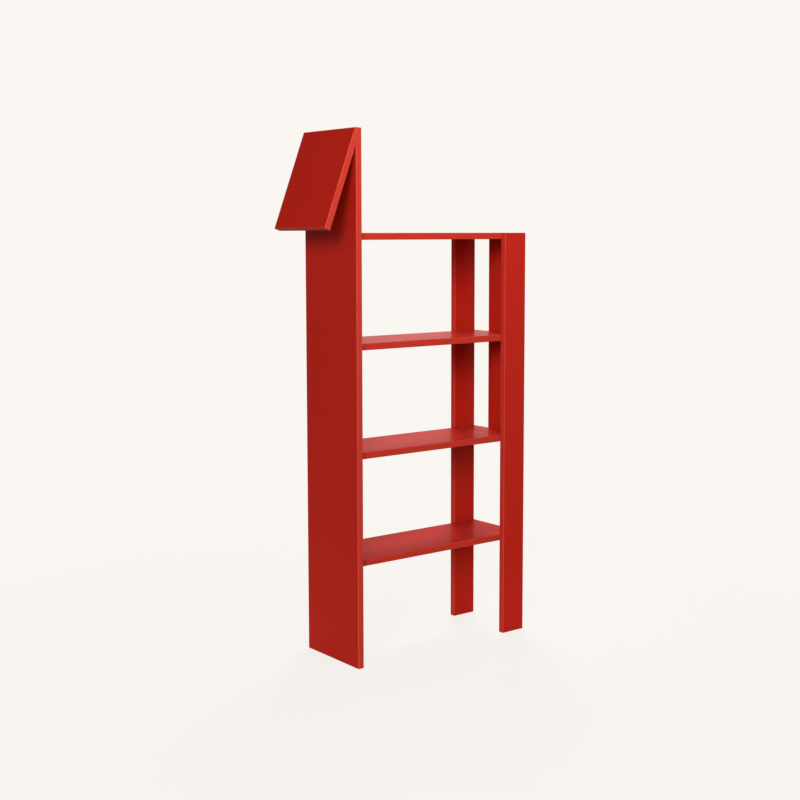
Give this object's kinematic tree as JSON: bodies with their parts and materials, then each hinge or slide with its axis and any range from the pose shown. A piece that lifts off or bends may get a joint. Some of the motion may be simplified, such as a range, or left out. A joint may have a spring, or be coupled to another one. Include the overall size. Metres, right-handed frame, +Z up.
{
  "type": "bookshelf",
  "caption": "Open bookshelf for a child's room in a giraffe's shape: a tall neck panel with a slanting head, rear legs, a tail strip and open shelves.",
  "frame": {"origin": "on the floor under the middle of the overall box", "axes": "+X from the head towards the tail, +Y from the front to the back, +Z up"},
  "size_m": [0.71, 0.236, 1.42],
  "materials": {
    "red_lacquer": "fibreboard in satin red lacquer",
    "beech_dowel": "bare fluted beech",
    "plated_steel": "zinc-plated steel",
    "cast_zinc": "bare die-cast zinc"
  },
  "bodies": {
    "root": {"neck_panel": "red_lacquer", "head_panel": "red_lacquer", "front_leg": "red_lacquer", "rear_leg": "red_lacquer", "tail_panel": "red_lacquer", "lower_shelf": "red_lacquer", "middle_shelf": "red_lacquer", "upper_shelf": "red_lacquer", "top_shelf": "red_lacquer", "neck_dowels": "beech_dowel", "front_leg_dowels": "beech_dowel", "rear_leg_dowels": "beech_dowel", "tail_dowels": "beech_dowel", "neck_cam_bolts": "plated_steel", "front_leg_cam_bolts": "plated_steel", "rear_leg_cam_bolts": "plated_steel", "tail_cam_bolts": "plated_steel", "neck_cam_discs": "cast_zinc", "front_leg_cam_discs": "cast_zinc", "rear_leg_cam_discs": "cast_zinc", "tail_cam_discs": "cast_zinc", "head_screws": "plated_steel", "head_dowels": "beech_dowel"}
  },
  "joints": []
}
